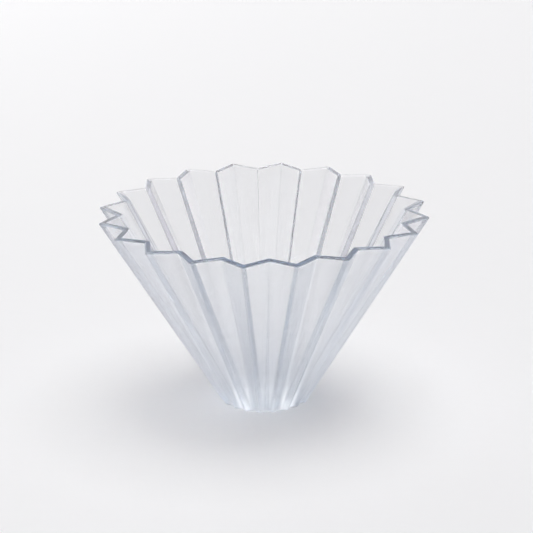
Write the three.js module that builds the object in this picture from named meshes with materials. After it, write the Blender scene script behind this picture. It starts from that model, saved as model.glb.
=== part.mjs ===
// A pleated pour over dripper: one clear moulding, a cone folded into 20 pleats that run down to a fluted
// outlet in its foot. Millimetres, +Z up along the cone's axis. The origin is the centre of the foot's
// underside, and a ridge lies on +X.
import * as THREE from "three";

// Driving dimensions
const PLEATS = 20;
const HEIGHT = 69;
const RIM_ACROSS = 115; // over the rounded ridges
const RIDGE_LEAN = THREE.MathUtils.degToRad(31.4); // of an outer ridge, from upright
const VALLEY_SHARE = 0.882; // outer valley radius over outer ridge radius, the same at every height
const WALL = 2; // at the rim, square to a panel
const EDGE = 0.45; // rounding of the rim's and the foot's edges
const RIM_CREASE = 0.4; // rounding of each fold at the rim, inside and out

// How each face changes on the way down from the rim: the rounding of its folds at the foot, and how much
// further in they lie there than in a wall of one thickness.
const OUTER_FACE = { ridgeCrease: 0.6, valleyCrease: 2.2, ridgeInset: 0, valleyInset: 0 };
const INNER_FACE = { ridgeCrease: 0.4, valleyCrease: 0.4, ridgeInset: 0.8, valleyInset: 1.5 };

// Smoothness
const CREASE_STEPS = 3;
const EDGE_STEPS = 2;
const INNER_STEPS = 4; // the inner panels twist slightly on their way down

// Every panel of the outer face is the same distance from the axis at one height, its apothem, and all the
// panels' planes meet the axis at one apex below the foot. So the wall has a section drawn as apothem
// against height, as a lathe's is drawn as radius against height, and each point of that section makes one
// pleated outline.
const halfPitch = Math.PI / PLEATS;
const panelRun = onCircle(VALLEY_SHARE, 1).sub(onCircle(1, 0)); // ridge to valley, at a ridge radius of 1
const apothemShare = onCircle(1, 0).cross(panelRun) / panelRun.length(); // apothem over ridge radius
const panelLean = Math.atan(Math.tan(RIDGE_LEAN) * apothemShare); // from upright
const wallAcross = WALL / Math.cos(panelLean); // the wall along a level cut
const edgeAcross = EDGE / Math.cos(panelLean);

// The rounded edge and ridges fall short of a sharp rim, so the sharp rim is drawn wider by both.
const edgeLoss = EDGE * Math.tan(panelLean) + edgeAcross - EDGE;
const ridgeLoss = RIM_CREASE * (1 - apothemShare);
const rimApothem = (RIM_ACROSS / 2) * apothemShare + edgeLoss + ridgeLoss;

// A point on a circle, at an angle of so many half pitches.
function onCircle(radius, halfPitches) {
  return new THREE.Vector2(radius, 0).rotateAround(new THREE.Vector2(), halfPitches * halfPitch);
}

function outerApothem(z) {
  return rimApothem - (HEIGHT - z) * Math.tan(panelLean);
}

function innerApothem(z) {
  return outerApothem(z) - wallAcross;
}

// One fold of an outline, rounded: CREASE_STEPS + 1 points on an arc that touches both panels.
// before and after are the folds on either side of it.
function roundedFold(tip, before, after, radius) {
  const back = before.clone().sub(tip).normalize();
  const on = after.clone().sub(tip).normalize();
  const middle = back.clone().add(on).normalize();
  const halfAngle = Math.acos(middle.dot(on));
  const centre = tip.clone().addScaledVector(middle, radius / Math.sin(halfAngle));
  const start = tip.clone().addScaledVector(back, radius / Math.tan(halfAngle));
  const sweep = (2 * halfAngle - Math.PI) * Math.sign(back.cross(on));
  return Array.from({ length: CREASE_STEPS + 1 }, (_, i) => {
    return start.clone().rotateAround(centre, (sweep * i) / CREASE_STEPS);
  });
}

// A pleated outline of one face, as points at height z.
function pleatedRing(face, apothem, z) {
  const down = 1 - z / HEIGHT;
  const ridge = {
    radius: apothem / apothemShare - face.ridgeInset * down,
    crease: THREE.MathUtils.lerp(RIM_CREASE, face.ridgeCrease, down),
  };
  const valley = {
    radius: (apothem / apothemShare) * VALLEY_SHARE - face.valleyInset * down,
    crease: THREE.MathUtils.lerp(RIM_CREASE, face.valleyCrease, down),
  };
  const points = [];
  for (let fold = 0; fold < 2 * PLEATS; fold++) {
    const [own, other] = fold % 2 ? [valley, ridge] : [ridge, valley];
    const before = onCircle(other.radius, fold - 1);
    const after = onCircle(other.radius, fold + 1);
    points.push(...roundedFold(onCircle(own.radius, fold), before, after, own.crease));
  }
  return points.map((p) => new THREE.Vector3(p.x, p.y, z));
}

// An edge's rounding in the section, as [apothem, height], from angle to angle about its centre.
function edgeArc(apothem, z, from, to) {
  return Array.from({ length: EDGE_STEPS + 1 }, (_, i) => {
    const turn = THREE.MathUtils.lerp(from, to, i / EDGE_STEPS);
    return [apothem + EDGE * Math.cos(turn), z + EDGE * Math.sin(turn)];
  });
}

// The outer face's part of the section, as [apothem, height]: from the foot's flat up to the rim's.
function outerSection() {
  const [low, high] = [EDGE, HEIGHT - EDGE];
  return [
    ...edgeArc(outerApothem(low) - edgeAcross, low, -Math.PI / 2, -panelLean),
    ...edgeArc(outerApothem(high) - edgeAcross, high, -panelLean, Math.PI / 2),
  ];
}

// The inner face's part: from the rim's flat down to the foot's, at the outlet.
function innerSection() {
  const [low, high] = [EDGE, HEIGHT - EDGE];
  const levels = Array.from({ length: INNER_STEPS - 1 }, (_, i) => {
    return THREE.MathUtils.lerp(high, low, (i + 1) / INNER_STEPS);
  });
  return [
    ...edgeArc(innerApothem(high) + edgeAcross, high, Math.PI / 2, Math.PI - panelLean),
    ...levels.map((z) => [innerApothem(z), z]),
    ...edgeArc(innerApothem(low) + edgeAcross, low, Math.PI - panelLean, 1.5 * Math.PI),
  ];
}

// A closed band: each ring is joined to the next, and the last to the first.
function bandOfRings(rings) {
  const across = rings[0].length;
  const index = [];
  rings.forEach((_, row) => {
    const next = (row + 1) % rings.length;
    for (let i = 0; i < across; i++) {
      const j = (i + 1) % across;
      const [a, b, c, d] = [row * across + i, row * across + j, next * across + j, next * across + i];
      index.push(a, b, c, a, c, d);
    }
  });
  const position = rings.flat().flatMap((p) => p.toArray());
  const geometry = new THREE.BufferGeometry();
  geometry.setAttribute("position", new THREE.Float32BufferAttribute(position, 3));
  geometry.setIndex(index);
  geometry.computeVertexNormals();
  return geometry;
}

const clearPlastic = new THREE.MeshStandardMaterial({
  color: 0xdfe6ec,
  roughness: 0.2,
  metalness: 0,
  transparent: true,
  opacity: 0.4,
});

const rings = [
  ...outerSection().map(([apothem, z]) => pleatedRing(OUTER_FACE, apothem, z)),
  ...innerSection().map(([apothem, z]) => pleatedRing(INNER_FACE, apothem, z)),
];
const cone = new THREE.Mesh(bandOfRings(rings), clearPlastic);
cone.name = "pleated_cone";

const dripper = new THREE.Group();
dripper.add(cone);

export default dripper;
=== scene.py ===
"""A clear pleated pour over dripper standing on a pale floor. Metres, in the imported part's own frame."""

import math

import bmesh
import bpy
from mathutils import Matrix, Vector


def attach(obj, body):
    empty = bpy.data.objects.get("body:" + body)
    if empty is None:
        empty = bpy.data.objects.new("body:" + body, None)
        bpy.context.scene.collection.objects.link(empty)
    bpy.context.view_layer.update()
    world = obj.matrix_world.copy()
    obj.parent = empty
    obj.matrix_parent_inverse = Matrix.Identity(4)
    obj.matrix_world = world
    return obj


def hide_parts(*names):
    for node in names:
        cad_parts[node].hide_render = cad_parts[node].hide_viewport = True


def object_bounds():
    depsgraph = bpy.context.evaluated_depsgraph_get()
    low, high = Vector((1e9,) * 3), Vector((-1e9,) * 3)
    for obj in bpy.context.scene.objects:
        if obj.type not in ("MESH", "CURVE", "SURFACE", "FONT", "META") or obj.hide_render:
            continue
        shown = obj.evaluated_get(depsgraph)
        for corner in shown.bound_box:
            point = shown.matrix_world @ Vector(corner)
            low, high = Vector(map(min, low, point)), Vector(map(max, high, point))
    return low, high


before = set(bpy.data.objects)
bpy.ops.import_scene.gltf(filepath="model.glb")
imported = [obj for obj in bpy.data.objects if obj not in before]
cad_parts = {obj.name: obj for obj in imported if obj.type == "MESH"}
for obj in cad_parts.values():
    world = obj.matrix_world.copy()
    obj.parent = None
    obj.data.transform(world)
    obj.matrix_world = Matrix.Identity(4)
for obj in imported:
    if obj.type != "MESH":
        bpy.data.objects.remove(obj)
cad_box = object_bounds()

# The cone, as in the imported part
PLEATS = 20
RIDGE_LEAN = math.radians(31.4)  # of an outer ridge, from upright
VALLEY_SHARE = 0.882  # outer valley radius over outer ridge radius
WALL = 0.002  # at the rim, square to a panel
EDGE = 0.00045  # rounding of the rim's and the foot's edges
RIM_CREASE = 0.0004  # rounding of each fold at the rim

# Each face at the foot: the rounding of its folds, and how much further in they lie than in a wall of one
# thickness. On the way up the rounding turns into RIM_CREASE, and the inset fades out.
OUTER_FACE = {
    "ridge_crease": 0.0006,
    "valley_crease": 0.0022,
    "ridge_inset": 0,
    "valley_inset": 0,
}
INNER_FACE = {
    "ridge_crease": 0.0004,
    "valley_crease": 0.0004,
    "ridge_inset": 0.0008,
    "valley_inset": 0.0015,
}

# Smoothness
CREASE_STEPS = 6  # in each fold's arc
EDGE_STEPS = 5  # in each edge's arc
FACE_STEPS = 12  # from the foot to the rim

# Finish, as roughness: satin outside, and polished edges and inner face
SATIN_ROUGHNESS = 0.265  # of the outer face at the rim
FOOT_ROUGHNESS = 0.36  # of the outer face at the foot, which is milky
INSIDE_ROUGHNESS = 0.05
EDGE_ROUGHNESS = 0.06

# The satin's spark-eroded grain: fine pits that make the roughness uneven, on a coarser swell
PITS_PER_METRE = 40000
SHALLOWEST_PIT = 0.6  # as a share of the face's roughness
DEEPEST_PIT = 1.4  # likewise
SWELLS_PER_METRE = 2600
SWELL_DEPTH = 0.00001
SWELL_STRENGTH = 0.5
NOISE_LOW = 0.3  # the range that most of a noise's values lie in
NOISE_HIGH = 0.7

# Resin: clear styrene with a faint cool tint, which is all in its depth
CLEAR = (1, 1, 1, 1)
IOR = 1.57
TRANSMISSION = 0.98
TINT = (0.50, 0.60, 0.72, 1)
TINT_DENSITY = 30

# Floor: a matt pale sheet with a faint lengthwise grain
FLOOR_DROP = 0.0001  # below the foot, so that the two faces don't share a plane
FLOOR_HALF = 3  # half its side
SHEET_GRAIN_PER_METRE = 60
SHEET_GRAIN_FINENESS = (1, 8, 1)  # along each axis, so the grain runs along X
SHEET_GRAIN_DETAIL = 4
SHEET_GRAIN_DEPTH = 0.00002
SHEET_DARK = (0.893, 0.905, 0.914, 1)
SHEET_LIGHT = (0.907, 0.919, 0.926, 1)
SHEET_SMOOTHEST = 0.62
SHEET_ROUGHEST = 0.78

# Studio: bright walls round the horizon, a dim ceiling, a soft sun overhead and a fill at the back
WORLD_TINT = (1, 0.92, 0.95, 1)
HORIZON = 1.45
ZENITH = 0.14
HORIZON_TOP = 0.4  # sine of the elevation at which the bright horizon has faded out
SOFT_SUN = {"direction": (0.15, 0.19, 1.3), "across": math.radians(45), "strength": 2.28}
BACK_FILL = {"place": (-0.5, 0.9, 0.5), "aim": (-0.1, 0.35, 0), "side": 0.6, "power": 1.3}

# Light's bounces: enough for it to pass through all the folds that lie behind one another
BOUNCES = 24
REFLECTIONS = 16

# Camera
AZIMUTH = math.radians(-83.2)
ELEVATION = math.radians(19.65)
ROLL = -0.0073  # radians
DISTANCE = 0.888
TARGET_RIGHT = 0.0009  # of the cone's axis
TARGET_HEIGHT = 0.0488
LENS = 171.83
SENSOR = 36

RIGHT_ANGLE = math.pi / 2
HALF_PITCH = math.pi / PLEATS
HEIGHT = cad_box[1][2]
RIM_RADIUS = (cad_box[1][0] - cad_box[0][0]) / 2


def mix(start, end, share):
    return start + (end - start) * share


def on_circle(radius, half_pitches):
    """A point on a circle, at an angle of so many half pitches."""
    angle = half_pitches * HALF_PITCH
    return Vector((radius * math.cos(angle), radius * math.sin(angle)))


# Every outer panel is the same distance from the axis at one height, its apothem, so the wall has a section
# drawn as apothem against height, and each point of that section makes one pleated outline.
PANEL_RUN = on_circle(VALLEY_SHARE, 1) - on_circle(1, 0)
APOTHEM_SHARE = abs(on_circle(1, 0).cross(PANEL_RUN)) / PANEL_RUN.length
PANEL_LEAN = math.atan(math.tan(RIDGE_LEAN) * APOTHEM_SHARE)
WALL_ACROSS = WALL / math.cos(PANEL_LEAN)
EDGE_ACROSS = EDGE / math.cos(PANEL_LEAN)

# The rounded edge and ridges fall short of a sharp rim, so the sharp rim is drawn wider by both.
EDGE_LOSS = EDGE * math.tan(PANEL_LEAN) + EDGE_ACROSS - EDGE
RIDGE_LOSS = RIM_CREASE * (1 - APOTHEM_SHARE)
RIM_APOTHEM = RIM_RADIUS * APOTHEM_SHARE + EDGE_LOSS + RIDGE_LOSS


def outer_apothem(z):
    return RIM_APOTHEM - (HEIGHT - z) * math.tan(PANEL_LEAN)


def inner_apothem(z):
    return outer_apothem(z) - WALL_ACROSS


def rounded_fold(tip, before, after, radius):
    """Points on an arc that rounds the fold at tip and touches both of its panels."""
    back = (before - tip).normalized()
    on = (after - tip).normalized()
    middle = (back + on).normalized()
    half_angle = math.acos(middle.dot(on))
    centre = tip + middle * (radius / math.sin(half_angle))
    spoke = tip + back * (radius / math.tan(half_angle)) - centre
    sweep = math.copysign(math.pi - 2 * half_angle, -back.cross(on))
    turns = [Matrix.Rotation(sweep * i / CREASE_STEPS, 2) for i in range(CREASE_STEPS + 1)]
    return [centre + turn @ spoke for turn in turns]


def pleated_ring(face, apothem, z):
    """The points of one face's pleated outline at height z."""
    down = 1 - z / HEIGHT
    ridge = apothem / APOTHEM_SHARE - face["ridge_inset"] * down
    valley = apothem / APOTHEM_SHARE * VALLEY_SHARE - face["valley_inset"] * down
    ridge_crease = mix(RIM_CREASE, face["ridge_crease"], down)
    valley_crease = mix(RIM_CREASE, face["valley_crease"], down)
    ring = []
    for fold in range(2 * PLEATS):
        own, other, crease = (valley, ridge, valley_crease) if fold % 2 else (ridge, valley, ridge_crease)
        before = on_circle(other, fold - 1)
        after = on_circle(other, fold + 1)
        ring += rounded_fold(on_circle(own, fold), before, after, crease)
    return [Vector((p.x, p.y, z)) for p in ring]


def edge_arc(apothem, z, start, end):
    """An edge's rounding in the section, as (apothem, height) pairs over the turn from start to end."""
    turns = [mix(start, end, i / EDGE_STEPS) for i in range(EDGE_STEPS + 1)]
    return [(apothem + EDGE * math.cos(turn), z + EDGE * math.sin(turn)) for turn in turns]


def between(start, end):
    """The section's points between two others, without those two."""
    shares = [i / FACE_STEPS for i in range(1, FACE_STEPS)]
    return [(mix(start[0], end[0], share), mix(start[1], end[1], share)) for share in shares]


# Each finish is a function of height, because one of them changes with it.
def edges(z):
    return EDGE_ROUGHNESS


def inside(z):
    return INSIDE_ROUGHNESS


def outside(z):
    """Satin, and rougher lower down, most of all near the foot."""
    down = 1 - z / HEIGHT
    return mix(SATIN_ROUGHNESS, FOOT_ROUGHNESS, down * down)


def cone_bands():
    """The rings of the moulding, each with the finish of the band that follows it: from the foot's flat up
    the outer face, over the rim and down the inner face to the foot's flat again."""
    low, high = EDGE, HEIGHT - EDGE
    outer_foot = edge_arc(outer_apothem(low) - EDGE_ACROSS, low, -RIGHT_ANGLE, -PANEL_LEAN)
    outer_rim = edge_arc(outer_apothem(high) - EDGE_ACROSS, high, -PANEL_LEAN, RIGHT_ANGLE)
    inner_rim = edge_arc(inner_apothem(high) + EDGE_ACROSS, high, RIGHT_ANGLE, math.pi - PANEL_LEAN)
    inner_foot = edge_arc(inner_apothem(low) + EDGE_ACROSS, low, math.pi - PANEL_LEAN, 3 * RIGHT_ANGLE)
    runs = [
        (OUTER_FACE, edges, outer_foot[:-1]),
        (OUTER_FACE, outside, [outer_foot[-1], *between(outer_foot[-1], outer_rim[0])]),
        (OUTER_FACE, edges, outer_rim),
        (INNER_FACE, edges, inner_rim[:-1]),
        (INNER_FACE, inside, [inner_rim[-1], *between(inner_rim[-1], inner_foot[0])]),
        (INNER_FACE, edges, inner_foot),
    ]
    return [(pleated_ring(face, *place), finish) for face, finish, places in runs for place in places]


def mesh_object(name, build):
    """A new object whose mesh is what build makes in a bmesh."""
    bm = bmesh.new()
    build(bm)
    mesh = bpy.data.meshes.new(name)
    bm.to_mesh(mesh)
    bm.free()
    obj = bpy.data.objects.new(name, mesh)
    bpy.context.scene.collection.objects.link(obj)
    return obj


def build_cone(bm):
    """The closed moulding, with each face's roughness in the layer that clear_resin reads."""
    roughness = bm.faces.layers.float.new("roughness")
    bands = [([bm.verts.new(point) for point in ring], finish) for ring, finish in cone_bands()]
    for (ring, finish), (next_ring, _) in zip(bands, bands[1:] + bands[:1]):
        for i, vert in enumerate(ring):
            j = (i + 1) % len(ring)
            face = bm.faces.new((vert, ring[j], next_ring[j], next_ring[i]))
            face.smooth = True
            face[roughness] = finish(vert.co.z)
    bmesh.ops.recalc_face_normals(bm, faces=bm.faces)


def material(name):
    """A new material, with its node tree and its Principled shader."""
    made = bpy.data.materials.new(name)
    made.use_nodes = True
    return made, made.node_tree, made.node_tree.nodes["Principled BSDF"]


def noise(tree, per_metre, detail=1, fineness=(1, 1, 1)):
    """Noise in the object's own coordinates, as its value from 0 to 1."""
    place = tree.nodes.new("ShaderNodeTexCoord")
    mapping = tree.nodes.new("ShaderNodeMapping")
    mapping.inputs["Scale"].default_value = fineness
    texture = tree.nodes.new("ShaderNodeTexNoise")
    texture.inputs["Scale"].default_value = per_metre
    texture.inputs["Detail"].default_value = detail
    tree.links.new(place.outputs["Object"], mapping.inputs["Vector"])
    tree.links.new(mapping.outputs["Vector"], texture.inputs["Vector"])
    return texture.outputs["Fac"]


def ranged(tree, value, low, high, to_low, to_high):
    """A value's range mapped to another range, and clamped to it."""
    ranger = tree.nodes.new("ShaderNodeMapRange")
    ranger.inputs["From Min"].default_value = low
    ranger.inputs["From Max"].default_value = high
    ranger.inputs["To Min"].default_value = to_low
    ranger.inputs["To Max"].default_value = to_high
    tree.links.new(value, ranger.inputs["Value"])
    return ranger.outputs["Result"]


def product(tree, first, second):
    times = tree.nodes.new("ShaderNodeMath")
    times.operation = "MULTIPLY"
    tree.links.new(first, times.inputs[0])
    tree.links.new(second, times.inputs[1])
    return times.outputs["Value"]


def bump(tree, height, distance):
    """A bump node with that height, with its strength left to the caller."""
    bumped = tree.nodes.new("ShaderNodeBump")
    bumped.inputs["Distance"].default_value = distance
    tree.links.new(height, bumped.inputs["Height"])
    return bumped


def clear_resin():
    """The resin, satin or polished as each face's roughness says. Only satin faces swell."""
    made, tree, shader = material("clear_resin")
    shader.inputs["Base Color"].default_value = CLEAR
    shader.inputs["IOR"].default_value = IOR
    shader.inputs["Transmission Weight"].default_value = TRANSMISSION
    absorb = tree.nodes.new("ShaderNodeVolumeAbsorption")
    absorb.inputs["Color"].default_value = TINT
    absorb.inputs["Density"].default_value = TINT_DENSITY
    tree.links.new(absorb.outputs["Volume"], tree.nodes["Material Output"].inputs["Volume"])

    finish = tree.nodes.new("ShaderNodeAttribute")
    finish.attribute_name = "roughness"
    fine = noise(tree, PITS_PER_METRE)
    pits = ranged(tree, fine, NOISE_LOW, NOISE_HIGH, SHALLOWEST_PIT, DEEPEST_PIT)
    tree.links.new(product(tree, finish.outputs["Fac"], pits), shader.inputs["Roughness"])
    bumped = bump(tree, noise(tree, SWELLS_PER_METRE), SWELL_DEPTH)
    strength = ranged(tree, finish.outputs["Fac"], EDGE_ROUGHNESS, SATIN_ROUGHNESS, 0, SWELL_STRENGTH)
    tree.links.new(strength, bumped.inputs["Strength"])
    tree.links.new(bumped.outputs["Normal"], shader.inputs["Normal"])
    return made


def pale_sheet():
    made, tree, shader = material("pale_sheet")
    grain = noise(tree, SHEET_GRAIN_PER_METRE, SHEET_GRAIN_DETAIL, SHEET_GRAIN_FINENESS)
    ramp = tree.nodes.new("ShaderNodeValToRGB")
    ramp.color_ramp.elements[0].color = SHEET_DARK
    ramp.color_ramp.elements[1].color = SHEET_LIGHT
    tree.links.new(grain, ramp.inputs["Fac"])
    tree.links.new(ramp.outputs["Color"], shader.inputs["Base Color"])
    uneven = ranged(tree, grain, 0, 1, SHEET_SMOOTHEST, SHEET_ROUGHEST)
    tree.links.new(uneven, shader.inputs["Roughness"])
    bumped = bump(tree, grain, SHEET_GRAIN_DEPTH)
    tree.links.new(bumped.outputs["Normal"], shader.inputs["Normal"])
    return made


def make_cone():
    cone = mesh_object("dripper_cone", build_cone)
    cone.data.materials.append(clear_resin())
    cone.modifiers.new("flat_panels", "WEIGHTED_NORMAL")
    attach(cone, "root")
    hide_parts("pleated_cone")


def build_floor(bm):
    corners = [(-1, -1), (1, -1), (1, 1), (-1, 1)]
    bm.faces.new([bm.verts.new((x * FLOOR_HALF, y * FLOOR_HALF, -FLOOR_DROP)) for x, y in corners])


def make_floor():
    floor = mesh_object("floor", build_floor)
    floor.data.materials.append(pale_sheet())


def make_camera():
    """The camera, in front of the part and above it, aimed at a point close to its axis."""
    level = Vector((-math.sin(AZIMUTH), math.cos(AZIMUTH), 0))
    away = Vector((math.cos(AZIMUTH), math.sin(AZIMUTH), 0))
    back = away * math.cos(ELEVATION) + Vector((0, 0, math.sin(ELEVATION)))
    upright = back.cross(level)
    right = level * math.cos(ROLL) + upright * math.sin(ROLL)
    up = upright * math.cos(ROLL) - level * math.sin(ROLL)
    target = level * TARGET_RIGHT + Vector((0, 0, TARGET_HEIGHT))
    data = bpy.data.cameras.new("camera")
    data.lens = LENS
    data.sensor_width = SENSOR
    camera = bpy.data.objects.new("camera", data)
    turn = Matrix((right, up, back)).transposed().to_4x4()
    camera.matrix_world = Matrix.Translation(target + back * DISTANCE) @ turn
    bpy.context.scene.collection.objects.link(camera)
    bpy.context.scene.camera = camera


def lamp(name, kind, energy, towards_light):
    """A new light of that kind, which shines from that direction."""
    data = bpy.data.lights.new(name, kind)
    data.energy = energy
    light = bpy.data.objects.new(name, data)
    light.rotation_euler = Vector(towards_light).to_track_quat("Z", "Y").to_euler()
    bpy.context.scene.collection.objects.link(light)
    return light


def make_soft_sun(direction, across, strength):
    """A far light of that angle across, so the floor is as bright far away as it is near the part."""
    sun = lamp("soft_sun", "SUN", strength, direction)
    sun.data.angle = across


def make_back_fill(place, aim, side, power):
    fill = lamp("back_fill", "AREA", power, Vector(place) - Vector(aim))
    fill.location = place
    fill.data.size = side


def make_world():
    """The studio's walls and ceiling, as a background that fades with elevation."""
    world = bpy.data.worlds.new("studio")
    bpy.context.scene.world = world
    world.use_nodes = True
    tree = world.node_tree
    background = tree.nodes["Background"]
    background.inputs["Color"].default_value = WORLD_TINT
    direction = tree.nodes.new("ShaderNodeTexCoord")
    axes = tree.nodes.new("ShaderNodeSeparateXYZ")
    tree.links.new(direction.outputs["Generated"], axes.inputs["Vector"])
    fade = ranged(tree, axes.outputs["Z"], 0, HORIZON_TOP, HORIZON, ZENITH)
    tree.links.new(fade, background.inputs["Strength"])


def set_rendering():
    """White stays white, and what shows in and through the resin isn't blurred to save samples."""
    scene = bpy.context.scene
    scene.view_settings.view_transform = "Standard"
    scene.cycles.blur_glossy = 0
    scene.cycles.max_bounces = BOUNCES
    scene.cycles.transmission_bounces = BOUNCES
    scene.cycles.glossy_bounces = REFLECTIONS


make_camera()
make_cone()
make_floor()
make_world()
make_soft_sun(**SOFT_SUN)
make_back_fill(**BACK_FILL)
set_rendering()
